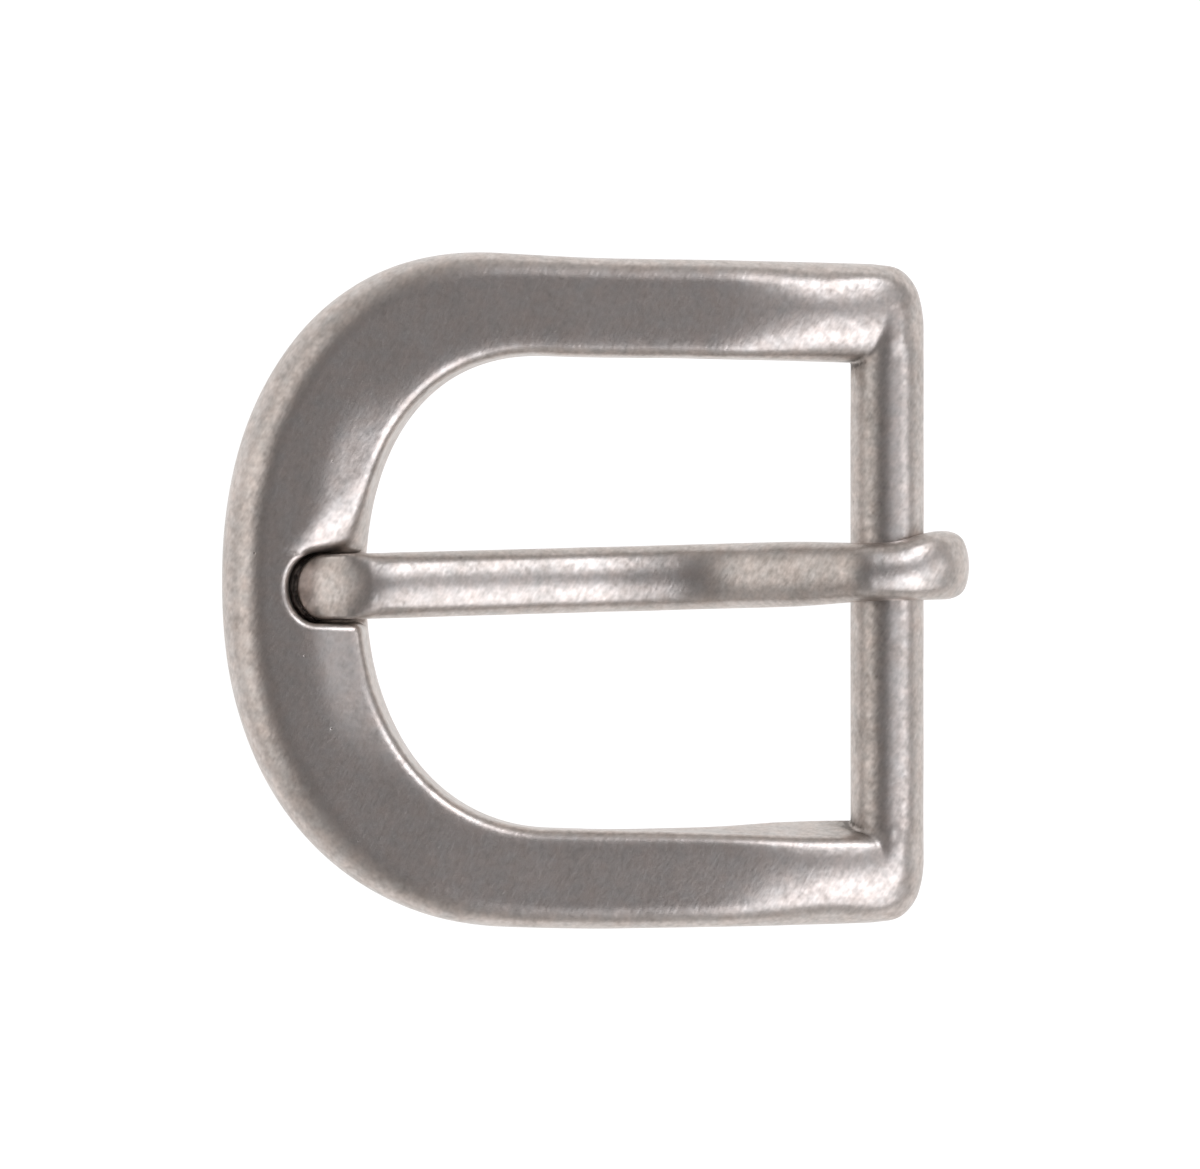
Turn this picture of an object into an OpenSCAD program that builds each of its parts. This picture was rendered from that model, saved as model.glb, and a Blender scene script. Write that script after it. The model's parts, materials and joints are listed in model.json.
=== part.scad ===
// D-shaped dress belt buckle: a one-piece cast frame with its own strap bar,
// and a tongue wrapped round that bar with its tip in a notch of the frame.
// +X points from the front of the frame to the strap bar, +Y along the bar,
// +Z away from the strap. The buckle lies on its back on the plane z = 0.

/* [Strap bar] */
// Clear width between the arms, which takes the strap
clear_w = 33; // [30:0.5:36]
// Radius of the round strap bar
bar_r = 2.55; // [2.2:0.05:2.7]
// Height of the strap bar's axis above the back plane
bar_z = 4.6; // [4.5:0.05:4.9]

/* [Frame] */
// Length of the frame from the front edge to the back of the strap bar
frame_l = 49.3; // [46:0.1:53]
// Width of the frame across the arms, at the widest place
frame_w = 47.2; // [45:0.1:50]
// Plan width of the front bar in the middle
front_w = 10.2; // [9:0.1:11.5]
// Height of the crown of the frame above the back plane
crown_z = 8.7; // [8.4:0.05:9.1]
// Thickness of an arm half way along
arm_t = 5.0; // [4:0.1:5.6]
// How far the top of the front bar falls towards its inner rim
inner_fall = 1.15; // [0.4:0.05:1.6]
// Squareness of the D curve, 2 is an ellipse
d_power = 2.2; // [2:0.05:2.5]
// Reach of the rounded outer corner along the arm
corner_x = 4.2; // [3:0.1:5]
// Reach of the rounded outer corner across the arm
corner_y = 2.8; // [2:0.1:3.4]
// How far the middle of the front bar lies sideways of the arms' middle
lean = 0.84; // [0:0.02:0.9]

/* [Notch] */
// Width of the notch that takes the tip of the tongue
notch_w = 5.4; // [5.2:0.05:6]
// Distance from the front edge to the end of the notch
notch_in = 4.7; // [4.2:0.1:5.2]
// Height of the floor of the notch above the back plane
notch_z = 4.8; // [4.7:0.05:4.9]
// Sideways place of the notch
notch_y = 0.2; // [0:0.05:0.3]

/* [Tongue] */
// Width of the shank
tongue_w = 4.55; // [4:0.05:4.7]
// Width at the narrow part over the strap bar
waist_w = 4.15; // [3.8:0.05:4.5]
// Width where the wrap goes down behind the strap bar
flare_w = 4.9; // [4.4:0.05:5.2]
// Height of the top of the wrap over the strap bar
wrap_z = 9.15; // [9.05:0.05:9.15]
// Height of the top of the shank over the inner rim of the front bar
crest_z = 8.9; // [8.7:0.05:9.1]
// Height of the top of the shank at its lowest, between frame and bar
valley_z = 3.9; // [3.7:0.05:4.6]
// How far the shank falls from its crest to its tip
tip_fall = 2.1; // [1.9:0.05:2.2]
// Distance from the strap bar's axis to the tip
tongue_reach = 41.3; // [40.9:0.05:41.4]
// Distance from the strap bar's axis to the back of the wrap
wrap_reach = 5.8; // [5:0.05:6]
// Radial play between the strap bar and the wrap
bar_play = 0.35; // [0.25:0.05:0.4]
// How far the wrap sits along the bar from the middle
tongue_side = 1.26; // [1.2:0.02:1.3]
// Turn of the tongue towards the notch, degrees
tongue_yaw = 1.6; // [1.4:0.1:1.7]

/* [Hidden] */
$fn = 96;

overall_l = frame_l + wrap_reach - bar_r - 0.1;
front_x = -overall_l / 2;                 // front edge of the frame
back_x = front_x + frame_l;               // back of the strap bar
bar_x = back_x - bar_r - 0.1;             // axis of the strap bar
inner_y = clear_w / 2;
outer_y = frame_w / 2;
d_out = 19.5;                             // depth of the outer D curve
d_in = 12.8;                              // depth of the inner D curve
inner_x = front_x + front_w;
arm_b = crown_z - arm_t;                  // underside of the arms
bore_r = bar_r + bar_play;
arm_y = -lean / 3;                        // middle line of the arms

function spow(v, e) = sign(v) * pow(abs(v), e);
function mix(a, b, t) = a + (b - a) * t;
function clamp(t) = min(1, max(0, t));
function ease(t) = let (c = clamp(t)) c * c * (3 - 2 * c);

// ---------------------------------------------------------------- frame ---
// Outer plan line: D curve up to 90 degrees, then the arm with its corner.
function d_point(x0, depth, half, a) =
    [x0 + depth - depth * spow(cos(a), 2 / d_power), half * spow(sin(a), 2 / d_power)];
function arm_out_y(x) =
    let (line = outer_y - 0.5 * clamp((x - front_x - d_out) / (back_x - front_x - d_out)),
         c = clamp((x - (back_x - corner_x)) / corner_x))
    line - corner_y * (1 - sqrt(1 - c * c));

// Sideways place of the frame's middle line, from the front to the arms.
function middle_y(x) = mix(2 * lean / 3, arm_y, ease((x + 21) / 23));

// Height of the crown and of the underside along the frame.
function top_z(x) =
    bar_z + (crown_z - bar_z) * dome(clamp((x - bar_x + 11) / (back_x - bar_x + 11.02)));
function dome(u) = pow(1 - pow(u, 2.3), 1 / 2.3);
function bottom_z(x) =
    x <= bar_x ? mix(arm_b, bar_z - bar_r - 0.05, ease((x - bar_x + 13) / 12))
               : bar_z - (bar_r + 0.05) * round_off(x);
function round_off(x) = sqrt(1 - pow(clamp((x - bar_x) / (back_x - bar_x + 0.02)), 2));

// One cross-section as closed points between an inner and an outer plan
// point. f is 1 in the middle of the front bar and 0 along the arms.
sec_n = 22;
function section(pi, po, f) =
    let (w = norm(po - pi), dir = (po - pi) / w, rx = w / 2,
         xm = (pi[0] + po[0]) / 2,
         zt = top_z(xm), zb = bottom_z(xm), h = zt - zb)
    [for (k = [0:sec_n - 1])
        let (a = 360 * k / sec_n,
             up = sin(a) >= 0, out = cos(a) >= 0,
             m = up ? (out ? 2.5 : mix(3.0, 4.2, f)) : 3.6,
             q = spow(cos(a), 2 / m), s = pow(abs(sin(a)), 2 / m),
             belt = mix(zb + h * 0.42, mix(4.4, 2.7, (q + 1) / 2), f),
             fall = mix(0.25, inner_fall, f) * pow(clamp((0.3 - q) / 1.3), 1.6),
             under = mix(zb, mix(arm_b - 0.2, -0.48, clamp(pow((q + 1) / 1.8, 1.3))), f),
             z = up ? belt + (zt - fall - belt) * s : belt - (belt - under) * s,
             draft = (up && !out) ? mix(0.12, 0.45, f) * s : 0,
             p = (pi + po) / 2 + dir * (q * rx + draft))
        [p[0], p[1], z]];

d_steps = 20;
arm_steps = 6;
end_steps = 10;
end_x = back_x - 0.04;
straight_x = bar_x - 8;
half_rings = concat(
    [for (i = [0:d_steps]) let (a = 90 * i / d_steps)
        section(d_point(inner_x, d_in, inner_y, a), d_point(front_x, d_out, outer_y, a),
                pow(cos(a), 1.5))],
    [for (i = [1:arm_steps]) let (t = i / arm_steps,
            xi = mix(inner_x + d_in, straight_x, t), xo = mix(front_x + d_out, straight_x, t))
        section([xi, inner_y], [xo, arm_out_y(xo)], 0)],
    [for (i = [1:end_steps]) let (x = mix(straight_x, end_x, sin(90 * i / end_steps)))
        section([x, inner_y], [x, arm_out_y(x)], 0)]);

function mirror_ring(r) = [for (p = r) [p[0], -p[1], p[2]]];
half_n = len(half_rings);
both_rings = concat([for (i = [half_n - 1:-1:1]) mirror_ring(half_rings[i])], half_rings);
rings = [for (r = both_rings) [for (p = r) [p[0], p[1] + middle_y(p[0]), p[2]]]];

// Solid through a list of equal closed rings, with flat ends.
module skin(rs) {
    n = len(rs); m = len(rs[0]);
    polyhedron(
        points = [for (r = rs) for (p = r) p],
        faces = concat(
            [for (i = [0:n - 2]) for (k = [0:m - 1])
                each [[i * m + k, (i + 1) * m + k, i * m + (k + 1) % m],
                      [i * m + (k + 1) % m, (i + 1) * m + k, (i + 1) * m + (k + 1) % m]]],
            [[for (k = [0:m - 1]) k]],
            [[for (k = [m - 1:-1:0]) (n - 1) * m + k]]));
}

// Cast frame: D-shaped rim, arms, rounded corners and the round strap bar.
module frame() {
    color("silver") difference() {
        union() {
            skin(rings);
            translate([bar_x, arm_y - inner_y - 1.5, bar_z]) rotate([-90, 0, 0])
                cylinder(r = bar_r, h = clear_w + 3);
        }
        translate([front_x + notch_in + notch_w / 2, notch_y, notch_z]) {
            cylinder(d = notch_w, h = 6);
            translate([0, -notch_w / 2, 0]) cube([12, notch_w, 6]);
        }
    }
}

// --------------------------------------------------------------- tongue ---
// Side line of the shank: it rests in the notch, rises over the rim, dips
// between frame and bar, and rises again over the bar.
tip_x = -tongue_reach;                    // distances are from the bar axis
crest_x = tip_x + 5;
low_x = -15;
top_x = -1.3;
shank_t = 2.4;
// Goes from 0 at a to 1 at b on a straight slope with rounded ends, which
// are ra and rb long.
function slope_line(x, a, ra, b, rb) =
    let (full = b - a - (ra + rb) / 2)
    (x < a ? 0
   : x < a + ra ? (x - a) * (x - a) / (2 * ra)
   : x < b - rb ? ra / 2 + x - a - ra
   : x < b ? full - (b - x) * (b - x) / (2 * rb)
   : full) / full;
function shank_top(x) =
    x < crest_x ? crest_z - tip_fall * pow((crest_x - x) / 5, 1.5)
  : x < low_x ? mix(crest_z, valley_z, slope_line(x, crest_x, 2.9, low_x, 9))
  : mix(valley_z, wrap_z, slope_line(x, low_x, 2.6, top_x, 1.9));
function lean_of(x) = (shank_top(x + 0.05) - shank_top(x - 0.05)) / 0.1;
function shank_bottom(x) =
    let (bore_top = bar_z + sqrt(max(0, pow(bore_r - 0.15, 2) - x * x)),
         under = shank_top(x) - shank_t * sqrt(1 + pow(lean_of(x), 2)))
    x > -3.2 ? max(under, bore_top)
  : x < crest_x ? max(under, notch_z + 0.06)
  : under;
function tip_round(x) = let (c = clamp((tip_x + 2.5 - x) / 2.5)) pow(1 - pow(c, 2.2), 1 / 2.2);
function shank_w(x) = mix(tongue_w, waist_w, ease((x + 6) / 5)) * max(0.2, tip_round(x));

// One ring of the tongue: centre line point in the side plane, direction
// from the bar side to the outer side, thickness and width.
tsec_n = 16;
function tongue_ring(p, dir, t, w) =
    [for (k = [0:tsec_n - 1])
        let (a = 360 * k / tsec_n, up = sin(a) >= 0, m = up ? 2.5 : 4,
             q = spow(cos(a), 2 / m), s = pow(abs(sin(a)), 2 / m),
             d = up ? t * (0.35 + 0.65 * s) : t * (0.35 - 0.35 * s))
        [p[0] + dir[0] * d, -q * w / 2, p[1] + dir[1] * d]];

shank_rings = concat(
    [for (x = [0.03, 0.35, 0.8, 1.4, 2.1, 2.9, 3.9, 5.2]) tip_x + x],
    [for (i = [1:14]) mix(crest_x, low_x, i / 14)],
    [for (i = [1:10]) mix(low_x, -3.2, i / 10)],
    [-2.4, -1.6, -0.8]);

// The wrap: outer radius round the bar from the top (90 degrees), down
// behind the bar and round to the seam under the shank.
wrap_end = -182;
function wrap_out(a) =
    let (top_r = wrap_z - bar_z, low_r = bar_z, back_r = wrap_reach)
    a >= 0 ? mix(back_r, top_r, pow(sin(a), 1.6))
  : a >= -90 ? mix(back_r, low_r, pow(-sin(a), 1.4))
  : mix(low_r, bore_r + 1.15, ease((-90 - a) / 70));
function wrap_w(a) = a > 45 ? mix(waist_w, flare_w, ease((90 - a) / 60))
  : mix(mix(waist_w, flare_w, ease((90 - a) / 60)), tongue_w, ease((-a) / 120));

tongue_rings = concat(
    [for (x = shank_rings)
        tongue_ring([x, shank_bottom(x)], [0, 1], shank_top(x) - shank_bottom(x), shank_w(x))],
    [for (i = [0:21]) let (a = mix(90, wrap_end, i / 21), r0 = bore_r - 0.15)
        tongue_ring([r0 * cos(a), bar_z + r0 * sin(a)], [cos(a), sin(a)],
                    wrap_out(a) - r0, wrap_w(a))]);

// Tongue: shank with a rounded tip, wrapped round the strap bar.
module tongue() {
    color("silver") difference() {
        translate([bar_x, tongue_side, 0]) rotate([0, 0, tongue_yaw]) mirror([0, 1, 0])
            skin(tongue_rings);
        translate([bar_x, -10, bar_z]) rotate([-90, 0, 0]) cylinder(r = bore_r, h = 24);
    }
}

frame();
tongue();
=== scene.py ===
import json
import math

import bpy
import numpy as np
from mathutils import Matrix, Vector


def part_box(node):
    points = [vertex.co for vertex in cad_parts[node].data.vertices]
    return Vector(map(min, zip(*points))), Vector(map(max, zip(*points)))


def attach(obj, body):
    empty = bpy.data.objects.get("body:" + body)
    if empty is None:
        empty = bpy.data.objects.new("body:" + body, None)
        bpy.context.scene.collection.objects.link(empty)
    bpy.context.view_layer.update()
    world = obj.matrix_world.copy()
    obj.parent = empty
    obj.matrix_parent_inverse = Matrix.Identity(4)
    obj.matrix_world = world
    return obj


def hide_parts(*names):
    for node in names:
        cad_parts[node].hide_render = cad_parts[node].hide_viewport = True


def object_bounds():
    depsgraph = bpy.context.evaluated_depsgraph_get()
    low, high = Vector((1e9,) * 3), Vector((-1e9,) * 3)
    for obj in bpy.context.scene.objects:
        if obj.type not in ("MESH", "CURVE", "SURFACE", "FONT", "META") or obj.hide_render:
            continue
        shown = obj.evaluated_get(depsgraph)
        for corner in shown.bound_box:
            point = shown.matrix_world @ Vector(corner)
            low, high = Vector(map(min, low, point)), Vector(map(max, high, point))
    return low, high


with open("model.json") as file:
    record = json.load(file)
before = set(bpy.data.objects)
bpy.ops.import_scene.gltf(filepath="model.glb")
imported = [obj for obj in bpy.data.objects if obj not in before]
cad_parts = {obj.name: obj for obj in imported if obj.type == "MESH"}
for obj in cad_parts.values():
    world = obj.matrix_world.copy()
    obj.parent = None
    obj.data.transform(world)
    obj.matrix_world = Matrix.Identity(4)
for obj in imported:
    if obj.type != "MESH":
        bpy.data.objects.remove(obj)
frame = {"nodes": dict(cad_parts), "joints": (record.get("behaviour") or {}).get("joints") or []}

cad_lo, cad_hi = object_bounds()

# ------------------------------------------------------------------ camera --
# Straight above the buckle, with its long axis across the picture.
cam = bpy.data.cameras.new("camera")
camera = bpy.data.objects.new("camera", cam)
bpy.context.scene.collection.objects.link(camera)
bpy.context.scene.camera = camera
CAM_Z = 0.55
camera.location = (0.000315, 0.00035, CAM_Z)
camera.rotation_euler = (0.0, 0.0, 0.0)
cam.sensor_width = 36.0
cam.lens = 36.0 * (CAM_Z - 0.005) / 0.084
cam.clip_start, cam.clip_end = 0.01, 10.0

# --------------------------------------------------- facts taken from CAD ---
# Everything below is in millimetres until a mesh is made.
f_lo, f_hi = (np.array(c) * 1000 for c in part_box("frame"))
hinge = frame["joints"][0]
BX, _, BZ = (1000 * c for c in hinge["pos_m"])      # strap bar's axis
FX, RX = float(f_lo[0]), float(f_hi[0])             # front edge, back of the bar
BAR_R = 2.55
BORE_R = 2.90
CROWN = 8.7
LEAN = 0.84
OUT_DEPTH, OUT_HALF, OUT_P = 19.5, 23.6, 2.2
IN_DEPTH, IN_HALF, IN_P = 12.8, 16.5, 2.24
INX = FX + 10.2
NOTCH_Z, NOTCH_Y, NOTCH_W = 4.8, 0.2, 5.4
SIDE, YAW = 1.26, math.radians(1.6)
TIP = -41.3


# ------------------------------------------------------------ small maths ---
def clamp(t):
    return np.clip(t, 0.0, 1.0)


def ease(t):
    t = clamp(t)
    return t * t * (3 - 2 * t)


def mix(a, b, t):
    return a + (b - a) * t


def softplus(t):
    return np.logaddexp(0.0, t)


def smax(a, b, k):
    h = np.maximum(k - np.abs(a - b), 0.0) / k
    return np.maximum(a, b) + h * h * k * 0.25


def smin(a, b, k):
    return -smax(-a, -b, k)


def ellipse(x, z, a, b, p=2.0):
    """Near distance to an ellipse about the origin, squarer as p grows."""
    u, v = np.abs(x) / a, np.abs(z) / b
    r = (u ** p + v ** p) ** (1 / p) + 1e-9
    return (r - 1) / (np.hypot((u / r) ** (p - 1) / a, (v / r) ** (p - 1) / b) + 1e-9)


def waves(x, y, z, scale, seed, n=7):
    """A smooth uneven field between about -1 and 1, the same on each run."""
    rng = np.random.RandomState(seed)
    out = 0.0
    for _ in range(n):
        d = rng.normal(size=3)
        d /= np.linalg.norm(d)
        w = 2 * math.pi / scale * rng.uniform(0.6, 1.5)
        out = out + np.sin(w * (d[0] * x + d[1] * y + d[2] * z) + rng.uniform(0, 6.28))
    return out / math.sqrt(n) / 1.2


# ------------------------------------------------------- plan line fields ---
class Field:
    """Distance to a plan line, kept on a grid and read between its points."""

    def __init__(self, line, inside, x0=-28.5, x1=26.0, y0=-26.0, y1=26.0, h=0.125):
        self.x0, self.y0, self.h = x0, y0, h
        xs = np.arange(x0, x1 + h, h)
        ys = np.arange(y0, y1 + h, h)
        px, py = np.meshgrid(xs, ys, indexing="ij")
        best = np.full(px.shape, 1e9)
        a, b = line[:-1], line[1:]
        for (ax, ay), (bx, by) in zip(a, b):
            dx, dy = bx - ax, by - ay
            t = np.clip(((px - ax) * dx + (py - ay) * dy) / (dx * dx + dy * dy + 1e-12), 0, 1)
            best = np.minimum(best, (px - ax - t * dx) ** 2 + (py - ay - t * dy) ** 2)
        self.v = np.sqrt(best) * np.where(inside(px, py), 1.0, -1.0)

    def __call__(self, x, y):
        x, y = np.broadcast_arrays(x, y)
        u = (x - self.x0) / self.h
        w = (y - self.y0) / self.h
        i = np.clip(u.astype(int), 0, self.v.shape[0] - 2)
        j = np.clip(w.astype(int), 0, self.v.shape[1] - 2)
        u = u - i
        w = w - j
        v = self.v
        return (v[i, j] * (1 - u) * (1 - w) + v[i + 1, j] * u * (1 - w)
                + v[i, j + 1] * (1 - u) * w + v[i + 1, j + 1] * u * w)


def out_half(x):
    """Half the frame's outer width at x, in plan."""
    u = clamp((FX + OUT_DEPTH - x) / OUT_DEPTH)
    d = OUT_HALF * (1 - u ** OUT_P) ** (1 / OUT_P)
    line = OUT_HALF - 0.5 * clamp((x - FX - OUT_DEPTH) / (RX - FX - OUT_DEPTH))
    c = clamp((x - (RX - 3.7)) / 3.7)
    return np.where(x < FX + OUT_DEPTH, d, line - 2.5 * (1 - np.sqrt(1 - c * c)))


def in_top(x):
    u = clamp((INX + IN_DEPTH - x) / IN_DEPTH)
    d = IN_HALF * (1 - u ** IN_P) ** (1 / IN_P)
    return d - 0.29 * clamp((x - 5) / 12.8)


def in_bottom(x):
    u = clamp((INX + IN_DEPTH - x) / IN_DEPTH)
    d = IN_HALF * (1 - u ** IN_P) ** (1 / IN_P)
    return d - 0.55 * ease((x - 0) / 17.8)


def d_steps(x0, depth):
    a = np.linspace(0, math.pi / 2, 150)
    return x0 + depth * (1 - np.cos(a))


def plan_lines():
    corner = RX - 3.7 + 3.7 * np.sin(np.linspace(0, math.pi / 2, 40))
    xs = np.concatenate([d_steps(FX, OUT_DEPTH), np.linspace(FX + OUT_DEPTH, RX - 3.7, 20)[1:], corner[1:]])
    top = np.stack([xs, out_half(xs)], 1)
    outer = np.concatenate([top[::-1], top * [1, -1]])
    outer = np.concatenate([outer, outer[:1]])
    xs = np.concatenate([d_steps(INX, IN_DEPTH), np.linspace(INX + IN_DEPTH, 40, 60)[1:]])
    inner = np.concatenate([np.stack([xs, in_top(xs)], 1)[::-1], np.stack([xs, -in_bottom(xs)], 1)])
    return outer, inner


outer_line, inner_line = plan_lines()
D_OUT = Field(outer_line, lambda x, y: (x > FX) & (x < RX) & (np.abs(y) < out_half(x)))
D_IN = Field(inner_line, lambda x, y: ~((x > INX) & (y < in_top(x)) & (y > -in_bottom(x))))


def middle_y(x):
    return mix(2 * LEAN / 3, -LEAN / 3, ease((x + 21) / 23))


# --------------------------------------------------------- the cast frame ---
def frame_body(x, y, z):
    """Negative inside the metal. The frame is crowned on top, with a rounded
    outer flank, a slope down to a rim round the opening, an arched underside,
    a notch for the tongue's tip and a round strap bar."""
    yy = y - middle_y(x)
    do = D_OUT(x, yy)
    di = D_IN(x, yy)
    f = 1 - ease((x + 22) / 20)                      # 1 at the front bar, 0 at the arms
    g = 1 - ease((x + 18.5) / 8)
    low = ease(-yy / 14)                             # the -Y side of the front
    end = ease((x - 15.5) / 6)
    # flank, and the slope down to the inner rim
    wf = mix(1.75, 3.3 + 0.35 * low, f) * (1 - 0.25 * end)
    hf = mix(1.6, 3.1, f)
    nf = 2.0 + 0.25 * low * f
    u = np.minimum(clamp(1 - do / wf), 0.985)
    flank = hf * (1 - (1 - u ** nf) ** (1 / nf)) * (1 - 0.7 * end)
    steep = hf / wf * u ** (nf - 1) * (1 - u ** nf) ** (1 / nf - 1)
    ws = mix(1.3, 3.4, g)
    wc = mix(2.4, 4.0, g)
    fall = mix(0.05, 0.285, g) * 0.42 * softplus((ws - di) / 0.42)
    fall = fall + mix(0.34, 0.28, g) * wc / 3.6 * clamp(1 - di / wc) ** 3.6
    # the arms are rounded across where they run down to the strap bar
    crest = 19.45 + 0.4 * np.sign(yy)
    round_off = 0.082 * ease((x - 8) / 9.5) * np.minimum((np.abs(yy) - crest) ** 2, 16)
    sunk = flank + fall + round_off
    a0 = BX - 11
    p = 2.3
    u = np.maximum(x - a0, 0) / (RX - 0.12 - a0)
    v = np.maximum(z + sunk - BZ, 0) / (CROWN - BZ)
    r = (u ** p + v ** p) ** (1 / p) + 1e-6
    slope = np.hypot((u / r) ** (p - 1) / (RX - 0.12 - a0), (v / r) ** (p - 1) / (CROWN - BZ))
    body = (r - 1) / np.maximum(slope, 0.1) / np.sqrt(1 + steep ** 2)
    # outer wall
    side = np.where(x < BX - 6, -do, np.abs(yy) - out_half(x))
    body = smax(body, side, mix(0.7, 1.5, end))
    # underside, turned up round the strap bar's axis
    frac = clamp(di / np.maximum(di + do, 0.1))
    zb_arm = mix(3.7, BZ - 2.63, ease((x - BX + 13) / 12))
    zb_front = mix(3.5, 0.02, clamp(frac / 0.86) ** 1.3)
    zb = mix(zb_arm, zb_front, f)
    below = (zb - z) / np.sqrt(1 + 0.2 * f)
    below = np.where(x > BX, np.hypot(x - BX, np.minimum(z - BZ, 0)) - 2.53, below)
    # inner wall, with its draft
    ramp = clamp((z - 3.9) / 3.4)
    twist = ease(x / 17.8) * (yy < 0)
    wall = -(di - (0.45 * f + 0.95 * twist) * ramp)
    body = smax(body, wall, mix(0.75, 0.72, f))
    body = smax(body, below, mix(mix(1.0, 0.8, f), 0.6, end))
    # strap bar, with a small fillet at each arm
    into = ease((np.abs(yy) - 17.3) / 3.6)           # it sinks into the arm's end
    into = 0.3 * into + 0.9 * ease((np.abs(yy) - 19.8) / 1.8)
    bar = np.hypot(x - BX, (z - BZ) * np.where(z > BZ, 1 + into, 1.0)) - (BAR_R + 0.01)
    bar = smax(bar, np.abs(yy) - out_half(x) + 0.45, 1.9)
    near = ease((x - BX + 1.0) / 1.6) * ease((BX + 2.3 - x) / 1.6)
    body = smin(body, bar, mix(0.25, 1.2, near))
    # notch, and the rounded-off corner at its mouth on the +Y side
    cx = FX + 4.7 + 2.15
    ex = np.maximum(cx - x, 0) * (2.65 / 2.15)
    sy = y - NOTCH_Y
    slot = np.hypot(ex, np.where(sy > 0, 1.08 * sy, sy)) - (NOTCH_W / 2 - 0.12)
    slot = np.maximum(slot, x + 10)
    cut = smax(slot, NOTCH_Z - z, 0.4)
    mouth = ease((x + 19.3) / 2.8)
    lip = 0.50 + 0.10 * mouth
    body = smax(body, -cut, lip)
    facet = 0.55 * (x + 16.9) - 0.50 * (np.maximum(yy, 0) - 3.3) + 0.67 * (z - 7.65)
    facet = facet - 14 * (1 - ease((yy - NOTCH_Y) / 1.8)) - 2.5 * ease((x + 15) / 4)
    body = smax(body, np.where(x < -10, facet, -9), 1.5)
    # unevenness of a hand-polished casting
    body = body + 0.012 * waves(x, y, z, 8.0, 11) + 0.0015 * waves(x, y, z, 2.2, 12, 12)
    return body


# -------------------------------------------------------------- the tongue ---
def slope_line(x, a, ra, b, rb):
    full = b - a - (ra + rb) / 2
    v = np.where(x < a + ra, np.maximum(x - a, 0) ** 2 / (2 * ra), ra / 2 + x - a - ra)
    v = np.where(x > b - rb, full - np.maximum(b - x, 0) ** 2 / (2 * rb), v)
    return clamp(v / full)


CREST, LOWX, TOPX = TIP + 5.3, -14.8, -1.0
OVER = -0.7
CREST_Z, LOW_Z, WRAP_Z = 8.9, 3.9, 9.12


def shank_top(x):
    tip = CREST_Z - 2.1 * (np.maximum(CREST - x, 0) / 5.0) ** 1.5
    a = mix(CREST_Z, LOW_Z, slope_line(x, CREST, 2.9, LOWX, 9.0))
    b = mix(LOW_Z, WRAP_Z, slope_line(x, LOWX, 5.0, TOPX, 1.9))
    return np.where(x < CREST, tip, np.where(x < LOWX, a, b))


def tongue_body(x, y, z):
    """Negative inside the metal. The shank has a crowned top, a flat back and
    a blunt tip, and is wrapped round the strap bar with its seam below."""
    c, s = math.cos(YAW), math.sin(YAW)
    lx = (x - BX) * c + (y - SIDE) * s
    ly = -(x - BX) * s + (y - SIDE) * c
    h = z - BZ
    r = np.hypot(lx, h)
    # top, along the shank and over the wrap in one sweep
    top = shank_top(lx)
    lean = (shank_top(lx + 0.05) - shank_top(lx - 0.05)) / 0.1
    sec = np.sqrt(1 + lean ** 2)
    over = ellipse(np.maximum(lx - OVER, 0), h, 5.75 - OVER, WRAP_Z - BZ, 2.25)
    g_top = np.where(lx < OVER, (z - top) / sec, over)
    # width, flaring a little to one side over the strap bar
    wy = ly - 0.33 * ease(lx / 3.7)
    hw = mix(2.29, 2.06, ease((lx + 7) / 5.5)) + 0.34 * ease((lx + 0.3) / 4.2)
    q = np.abs(wy) / hw
    at_tip = ease((CREST + 1.0 - lx) / 3.0)          # the tip is flatter across
    g_top = (g_top + mix(0.70, 0.14, at_tip) * q ** 2.1) / np.sqrt(1 + 0.6 * q ** 2)
    e = np.maximum(TIP + 1.9 - lx, 0) / 1.9
    side = (np.sqrt(e ** 2 + q ** 2) - 1) * hw
    upper = smax(g_top, side, mix(0.9, 0.26, at_tip))
    # back of the shank, then the bore
    under = np.where(lx < CREST + 2, np.maximum(top - 2.4 * sec, NOTCH_Z + 0.06), top - 2.4 * sec)
    shank = smax(upper, np.where(lx < -2.0, (under - z) / sec, -h - 0.8), 0.7)
    # lower half of the wrap
    low_hw = mix(hw, np.minimum(hw, 2.25), ease((-h - 0.9) / 3))
    wrap = np.where((h > 0) & (lx > 0), over, ellipse(lx, h, np.where(lx > 0, 5.75, 4.05), 4.56))
    wq = np.abs(wy) / low_hw
    wrap = (wrap + 0.7 * wq ** 2.1) / np.sqrt(1 + 0.6 * wq ** 2)
    wrap = smax(wrap, np.abs(wy) - low_hw, 0.9)
    wrap = smax(wrap, np.minimum(-0.3 - lx, h - 0.1), 0.35)
    wrap = np.where(h > 1.2, 9.0, wrap)
    body = np.minimum(shank, wrap)
    body = smax(body, BORE_R - r, 0.3)
    return body + 0.008 * waves(x, y, z, 6.0, 21) + 0.0015 * waves(x, y, z, 1.9, 22, 12)


# ----------------------------------------------------------------- meshing --
def gradient(body, p, e=0.02):
    g = np.empty_like(p)
    for a in range(3):
        d = np.zeros(3)
        d[a] = e
        q, w = p + d, p - d
        g[:, a] = (body(q[:, 0], q[:, 1], q[:, 2]) - body(w[:, 0], w[:, 1], w[:, 2])) / (2 * e)
    return g


def settle(body, p, rounds=2):
    for _ in range(rounds):
        v = body(p[:, 0], p[:, 1], p[:, 2])
        g = gradient(body, p)
        step = (v / np.maximum((g ** 2).sum(1), 0.05))[:, None] * g
        size = np.linalg.norm(step, axis=1, keepdims=True)
        p = p - step * np.minimum(1, 0.12 / np.maximum(size, 1e-9))
    return p


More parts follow.
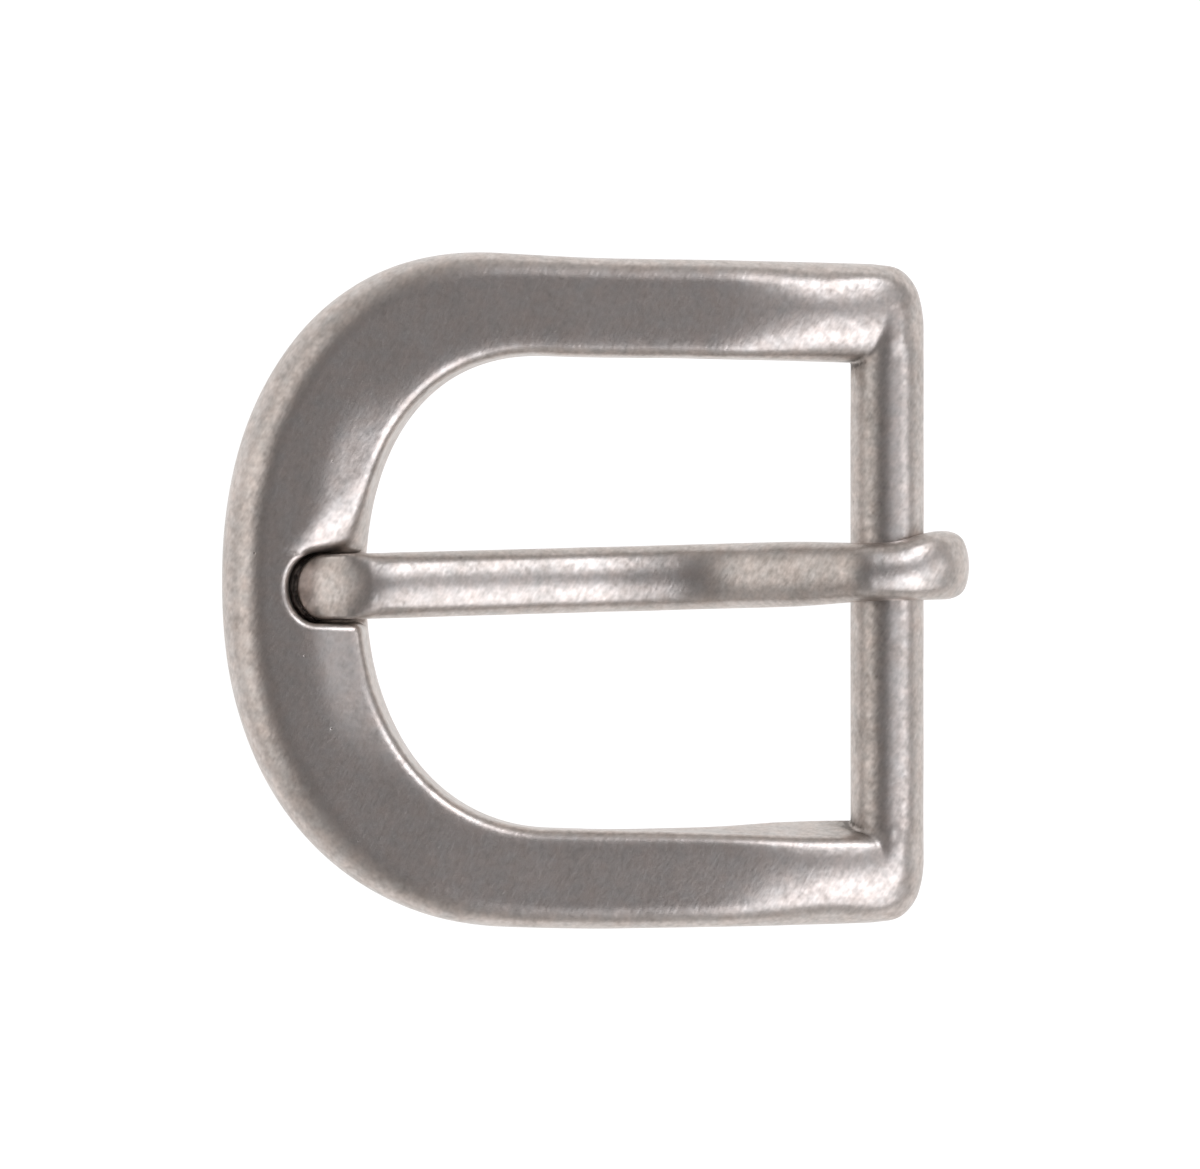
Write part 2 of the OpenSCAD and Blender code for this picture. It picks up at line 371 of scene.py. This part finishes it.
def surface(body, lo, hi, h):
    """Quads on the surface of a solid given as a function, evenly spread."""
    xs, ys, zs = (np.arange(a - 2 * h, b + 3 * h, h) for a, b in zip(lo, hi))
    vals = np.empty((len(xs), len(ys), len(zs)), np.float32)
    for i in range(0, len(xs), 16):
        vals[i:i + 16] = body(xs[i:i + 16, None, None], ys[None, :, None], zs[None, None, :])
    s = vals < 0
    n = np.zeros(tuple(d - 1 for d in s.shape), np.uint8)
    corners = [(a, b, c) for a in (0, 1) for b in (0, 1) for c in (0, 1)]
    for a, b, c in corners:
        n += s[a:a + n.shape[0], b:b + n.shape[1], c:c + n.shape[2]]
    active = (n > 0) & (n < 8)
    ids = np.argwhere(active)
    index = np.full(active.shape, -1, np.int64)
    index[active] = np.arange(len(ids))
    pos = np.zeros((len(ids), 3))
    count = np.zeros(len(ids))
    for a in corners:
        for axis in range(3):
            if a[axis]:
                continue
            b = list(a)
            b[axis] = 1
            va = vals[ids[:, 0] + a[0], ids[:, 1] + a[1], ids[:, 2] + a[2]]
            vb = vals[ids[:, 0] + b[0], ids[:, 1] + b[1], ids[:, 2] + b[2]]
            m = (va < 0) != (vb < 0)
            t = va[m] / (va[m] - vb[m])
            p = ids[m] + np.array(a, float)
            p[:, axis] += t
            pos[m] += p
            count[m] += 1
    pos = pos / count[:, None] * h + [xs[0], ys[0], zs[0]]
    quads = []
    for axis in range(3):
        b, c = (axis + 1) % 3, (axis + 2) % 3
        first = [slice(None)] * 3
        second = [slice(None)] * 3
        first[axis], second[axis] = slice(0, -1), slice(1, None)
        s1, s2 = s[tuple(first)], s[tuple(second)]
        at = np.argwhere(s1 != s2)
        out = s1[at[:, 0], at[:, 1], at[:, 2]]
        ring = []
        for db, dc in ((-1, -1), (0, -1), (0, 0), (-1, 0)):
            q = at.copy()
            q[:, b] += db
            q[:, c] += dc
            ring.append(index[q[:, 0], q[:, 1], q[:, 2]])
        ring = np.stack(ring, 1)
        ring[~out] = ring[~out][:, ::-1]
        quads.append(ring)
    quads = np.concatenate(quads)
    e = np.concatenate([quads[:, [0, 1]], quads[:, [1, 2]], quads[:, [2, 3]], quads[:, [3, 0]]])
    e = np.concatenate([e, e[:, ::-1]])
    pos = settle(body, pos, 2)
    for _ in range(3):
        cnt = np.bincount(e[:, 0], minlength=len(pos))
        mean = np.stack([np.bincount(e[:, 0], pos[e[:, 1], a], len(pos)) for a in range(3)], 1) / cnt[:, None]
        pos = settle(body, pos + 0.6 * (mean - pos), 1)
    return settle(body, pos, 1), quads


def wear_and_shade(body, p):
    """The hollow depth, how far out on an edge, and how far from level."""
    g = gradient(body, p, 0.05)
    n = g / np.maximum(np.linalg.norm(g, axis=1, keepdims=True), 1e-6)
    darkening = 0.0
    for d, w in ((0.5, 0.3), (1.2, 0.4), (2.4, 0.3)):
        q = p + n * d
        darkening = darkening + w * clamp(1 - body(q[:, 0], q[:, 1], q[:, 2]) / d)
    q = p - n * 0.45
    edge = clamp((body(q[:, 0], q[:, 1], q[:, 2]) + 0.45) / 0.45 * 2.2)
    return darkening, edge, 1 - clamp(n[:, 2])


def make(name, body, lo, hi, h, node):
    p, quads = surface(body, lo, hi, h)
    darkening, edge, away = wear_and_shade(body, p)
    me = bpy.data.meshes.new(name)
    me.from_pydata((p * 0.001).tolist(), [], quads.tolist())
    me.polygons.foreach_set("use_smooth", np.ones(len(quads), bool))
    if name == "cast_frame":
        # the strap covers the bar, so it is never rubbed bright and keeps a faint patina; the narrow darker
        # band along the bar's top, 0.95 mm in front of its axis, is a painted reflection
        do = D_OUT(p[:, 0], p[:, 1] - middle_y(p[:, 0]))
        between = ease((p[:, 0] - 16.5) / 1.0) * ease((18.6 - np.abs(p[:, 1] + 0.28)) / 1.2) * ease((BX + 1.0 - p[:, 0]) / 0.8)
        darkening = darkening * np.maximum(ease((do - 2.6) / 1.2), between)
        on_bar = ease((p[:, 0] - 17.3) / 0.6) * ease((17.4 - np.abs(p[:, 1] + 0.28)) / 1.5)
        # painted reflection: the Gaussian term darkens a narrow band along the bar's top
        darkening = darkening + (0.04 + 0.17 * np.exp(-((p[:, 0] - BX + 0.95) / 0.75) ** 2)) * on_bar
    col = me.color_attributes.new("wear_and_shade", "FLOAT_COLOR", "POINT")
    rgba = np.stack([darkening, edge, away, np.ones(len(p))], 1)
    col.data.foreach_set("color", rgba.astype(np.float32).ravel())
    me.update()
    o = bpy.data.objects.new(name, me)
    bpy.context.scene.collection.objects.link(o)
    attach(o, node)
    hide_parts(node)
    return o


t_lo, t_hi = (np.array(c) * 1000 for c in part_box("tongue"))
cast_frame = make("cast_frame", frame_body, f_lo - 0.3, f_hi + 0.3, 0.17, "frame")
prong = make("wrapped_tongue", tongue_body, t_lo - 0.3, t_hi + 0.3, 0.13, "tongue")


# --------------------------------------------------------------- materials --
def antique_nickel(name, tint, shade, side_shade, rough, seed, pits=()):
    """Satin nickel plate with a brushed and tumbled grain, dark tarnish in the hollows, brighter rubbed
    edges, a few small casting pits, painted shade that makes steep faces darker and browner, and any painted
    reflection band the mesh carries."""
    mat = bpy.data.materials.new(name)
    mat.use_nodes = True
    nt = mat.node_tree
    nd, ln = nt.nodes, nt.links
    bsdf = nd["Principled BSDF"]
    bsdf.inputs["Metallic"].default_value = 1.0

    def math_node(op, a, b=None, clamp_it=False):
        m = nd.new("ShaderNodeMath")
        m.operation = op
        m.use_clamp = clamp_it
        for i, v in enumerate((a, b)):
            if v is None:
                continue
            if isinstance(v, (int, float)):
                m.inputs[i].default_value = v
            else:
                ln.new(v, m.inputs[i])
        return m.outputs[0]

    def noise(vec, scale, detail, rgh=0.55):
        n = nd.new("ShaderNodeTexNoise")
        n.inputs["Scale"].default_value = scale
        n.inputs["Detail"].default_value = detail
        n.inputs["Roughness"].default_value = rgh
        ln.new(vec, n.inputs["Vector"])
        return n.outputs["Fac"]

    def mapped(scale, rot=0.0, shift=0.0):
        m = nd.new("ShaderNodeMapping")
        m.inputs["Scale"].default_value = scale
        m.inputs["Rotation"].default_value = (0, 0, rot)
        m.inputs["Location"].default_value = (seed * 7.3 + shift, seed * 3.1, seed * 1.7)
        ln.new(tc.outputs["Object"], m.inputs["Vector"])
        return m.outputs["Vector"]

    tc = nd.new("ShaderNodeTexCoord")
    mm = mapped((1000, 1000, 1000))
    # grain drawn out along one direction, as left by the polishing wheel
    turn = nd.new("ShaderNodeVectorRotate")
    turn.rotation_type = "Z_AXIS"
    turn.inputs["Angle"].default_value = math.radians(-58)
    ln.new(tc.outputs["Object"], turn.inputs["Vector"])
    stretch = nd.new("ShaderNodeMapping")
    stretch.inputs["Scale"].default_value = (1500, 4600, 3600)
    stretch.inputs["Location"].default_value = (seed, seed * 2, seed * 3)
    ln.new(turn.outputs["Vector"], stretch.inputs["Vector"])
    grain = noise(stretch.outputs["Vector"], 1.0, 1.2, 0.5)
    blotch = noise(mm, 0.32, 3.0)
    speck = noise(mm, 2.1, 1.4, 0.55)
    fine = noise(mm, 9.0, 2.0)

    att = nd.new("ShaderNodeAttribute")
    att.attribute_name = "wear_and_shade"
    sep = nd.new("ShaderNodeSeparateColor")
    ln.new(att.outputs["Color"], sep.inputs["Color"])
    darkening, edge, away = sep.outputs[0], sep.outputs[1], sep.outputs[2]

    # sparse casting pits
    vor = nd.new("ShaderNodeTexVoronoi")
    vor.inputs["Scale"].default_value = 0.55
    vor.inputs["Randomness"].default_value = 1.0
    ln.new(mm, vor.inputs["Vector"])
    pit = math_node("MULTIPLY", math_node("SUBTRACT", 0.055, vor.outputs["Distance"]), 26.0, True)
    chance = nd.new("ShaderNodeSeparateColor")
    ln.new(vor.outputs["Color"], chance.inputs["Color"])
    pit = math_node("MULTIPLY", pit, math_node("GREATER_THAN", chance.outputs[0], 0.85))
    for (px, py, pz), rad in pits:
        d = nd.new("ShaderNodeVectorMath")
        d.operation = "DISTANCE"
        ln.new(tc.outputs["Object"], d.inputs[0])
        d.inputs[1].default_value = (px * 0.001, py * 0.001, pz * 0.001)
        one = math_node("MULTIPLY", math_node("SUBTRACT", rad * 0.001, d.outputs["Value"]), 1600 / rad, True)
        pit = math_node("MAXIMUM", pit, one)

    # colour: bright metal, greyed by patina in hollows, by uneven plating and by a painted reflection band
    # along the strap bar's top
    ramp = nd.new("ShaderNodeValToRGB")
    cr = ramp.color_ramp
    cr.elements[0].position, cr.elements[0].color = 0.42, (*tint, 1)
    cr.elements[1].position, cr.elements[1].color = 0.87, (*shade, 1)
    last = cr.elements.new(1.0)
    last.color = (0.09, 0.08, 0.075, 1)
    a = math_node("MULTIPLY", darkening, 0.75)
    b = math_node("MULTIPLY", blotch, 0.42)
    c = math_node("MULTIPLY", speck, 0.46)
    g = math_node("MULTIPLY", grain, 0.26)
    patina_and_shade = math_node("ADD", math_node("ADD", a, b), math_node("ADD", c, g))
    patina_and_shade = math_node("SUBTRACT", patina_and_shade, math_node("MULTIPLY", edge, 0.18))
    patina_and_shade = math_node("ADD", patina_and_shade, math_node("MULTIPLY", pit, 0.6), True)
    ln.new(patina_and_shade, ramp.inputs["Fac"])
    # painted shade: the steeper the face, the darker and browner its base colour
    brown = nd.new("ShaderNodeMix")
    brown.data_type = "RGBA"
    brown.inputs[7].default_value = (*side_shade, 1)
    ln.new(ramp.outputs["Color"], brown.inputs[6])
    ln.new(math_node("MULTIPLY", away, 0.40, True), brown.inputs[0])
    # a faint drift between a pinkish and a bluish grey
    drift = nd.new("ShaderNodeMix")
    drift.data_type = "RGBA"
    drift.inputs[6].default_value = (1.06, 0.985, 0.955, 1)
    drift.inputs[7].default_value = (0.94, 1.005, 1.05, 1)
    ln.new(noise(mapped((1000, 1000, 1000), shift=31.0), 0.85, 2.0), drift.inputs[0])
    hued = nd.new("ShaderNodeMix")
    hued.data_type = "RGBA"
    hued.blend_type = "MULTIPLY"
    hued.inputs[0].default_value = 1.0
    ln.new(brown.outputs[2], hued.inputs[6])
    ln.new(drift.outputs[2], hued.inputs[7])
    ln.new(hued.outputs[2], bsdf.inputs["Base Color"])

    r = math_node("ADD", rough - 0.13, math_node("MULTIPLY", blotch, 0.10))
    r = math_node("ADD", r, math_node("MULTIPLY", speck, 0.09))
    r = math_node("ADD", r, math_node("MULTIPLY", grain, 0.08))
    r = math_node("ADD", r, math_node("MULTIPLY", darkening, 0.22))
    r = math_node("SUBTRACT", r, math_node("MULTIPLY", edge, 0.05), True)
    ln.new(r, bsdf.inputs["Roughness"])

    h = math_node("ADD", math_node("MULTIPLY", grain, 1.3), math_node("MULTIPLY", speck, 1.6))
    h = math_node("ADD", h, math_node("MULTIPLY", fine, 0.12))
    h = math_node("SUBTRACT", h, math_node("MULTIPLY", pit, 5.0))
    bump = nd.new("ShaderNodeBump")
    bump.inputs["Strength"].default_value = 1.0
    bump.inputs["Distance"].default_value = 0.000006
    ln.new(h, bump.inputs["Height"])
    ln.new(bump.outputs["Normal"], bsdf.inputs["Normal"])
    return mat


frame_pits = [((-18.2, 8.7, 8.1), 0.34), ((-17.7, 9.6, 7.9), 0.2), ((4.5, -9.0, 8.0), 0.2),
              ((-6.3, 16.9, 8.2), 0.22), ((-17.5, -3.4, 7.6), 0.2)]
nickel = antique_nickel("antique_nickel_frame", (0.66, 0.60, 0.565), (0.30, 0.27, 0.25), (0.49, 0.435, 0.385), 0.365, 1, frame_pits)
nickel_t = antique_nickel("antique_nickel_tongue", (0.67, 0.61, 0.575), (0.32, 0.29, 0.265), (0.52, 0.465, 0.415), 0.365, 2)
cast_frame.data.materials.append(nickel)
prong.data.materials.append(nickel_t)
for o in frame["nodes"].values():
    for s in o.material_slots:
        s.material = nickel

# ------------------------------------------------------- floor and lights ---
me = bpy.data.meshes.new("floor")
S = 1.5
me.from_pydata([(-S, -S, 0), (S, -S, 0), (S, S, 0), (-S, S, 0)], [], [(0, 1, 2, 3)])
floor = bpy.data.objects.new("floor", me)
bpy.context.scene.collection.objects.link(floor)
floor.location.z = float(cad_lo[2]) - 0.00005
fm = bpy.data.materials.new("pale_floor")
fm.use_nodes = True
fb = fm.node_tree.nodes["Principled BSDF"]
fb.inputs["Base Color"].default_value = (0.14, 0.14, 0.14, 1)
fb.inputs["Roughness"].default_value = 0.9
fb.inputs["Specular IOR Level"].default_value = 0.0
fb.inputs["Emission Color"].default_value = (1.0, 1.0, 1.0, 1)
fb.inputs["Emission Strength"].default_value = 0.98
floor.data.materials.append(fm)

world = bpy.data.worlds.new("studio")
bpy.context.scene.world = world
world.use_nodes = True
wn, wl = world.node_tree.nodes, world.node_tree.links
wtc = wn.new("ShaderNodeTexCoord")
wsep = wn.new("ShaderNodeSeparateXYZ")
wr = wn.new("ShaderNodeValToRGB")
wl.new(wtc.outputs["Generated"], wsep.inputs[0])
wl.new(wsep.outputs["Z"], wr.inputs["Fac"])
# grey overhead, paler towards the horizon and less so on the +X side
stops = wr.color_ramp.elements
stops[0].position, stops[0].color = 0.0, (0.78, 0.765, 0.75, 1)
stops[1].position, stops[1].color = 0.93, (0.105, 0.098, 0.097, 1)
for at, c in ((0.30, (0.60, 0.585, 0.57, 1)), (0.70, (0.29, 0.28, 0.275, 1))):
    new = stops.new(at)
    new.color = c
right = wn.new("ShaderNodeMath")
right.operation = "MULTIPLY"
right.use_clamp = True
right.inputs[1].default_value = 0.45
wl.new(wsep.outputs["X"], right.inputs[0])
keep = wn.new("ShaderNodeMath")
keep.operation = "SUBTRACT"
keep.inputs[0].default_value = 1.0
wl.new(right.outputs[0], keep.inputs[1])
scale = wn.new("ShaderNodeVectorMath")
scale.operation = "SCALE"
wl.new(wr.outputs["Color"], scale.inputs[0])
wl.new(keep.outputs[0], scale.inputs["Scale"])
wl.new(scale.outputs["Vector"], wn["Background"].inputs["Color"])
wn["Background"].inputs["Strength"].default_value = 1.0


def softbox(name, azimuth, tilt, dist, width, length, radiance, colour=(1, 1, 1)):
    """An oval soft light seen from the origin at that azimuth, tilted
    from straight up; its length runs up towards the zenith."""
    a, t = math.radians(azimuth), math.radians(tilt)
    d = Vector((math.sin(t) * math.cos(a), math.sin(t) * math.sin(a), math.cos(t)))
    light = bpy.data.lights.new(name, "AREA")
    light.shape = "ELLIPSE"
    light.size, light.size_y = width, length
    light.energy = radiance * math.pi * width * length * math.pi / 4
    light.color = colour
    o = bpy.data.objects.new(name, light)
    bpy.context.scene.collection.objects.link(o)
    o.location = d * dist
    o.rotation_mode = "QUATERNION"
    o.rotation_quaternion = d.to_track_quat("Z", "Y")
    return o


softbox("key_small", 55, 43, 0.6, 0.23, 0.40, 4.6, (0.96, 0.985, 1.03))
softbox("key_broad", -45, 41, 0.6, 0.46, 0.53, 2.3, (0.96, 0.985, 1.03))
softbox("key_low", -4, 56, 0.6, 0.26, 0.22, 2.4, (0.96, 0.985, 1.03))
softbox("fill_left", 172, 55, 0.7, 0.80, 0.44, 0.92, (1.0, 0.985, 0.96))

scene = bpy.context.scene
scene.view_settings.view_transform = "Standard"
scene.view_settings.look = "None"
scene.view_settings.exposure = 0.0
scene.view_settings.gamma = 1.0
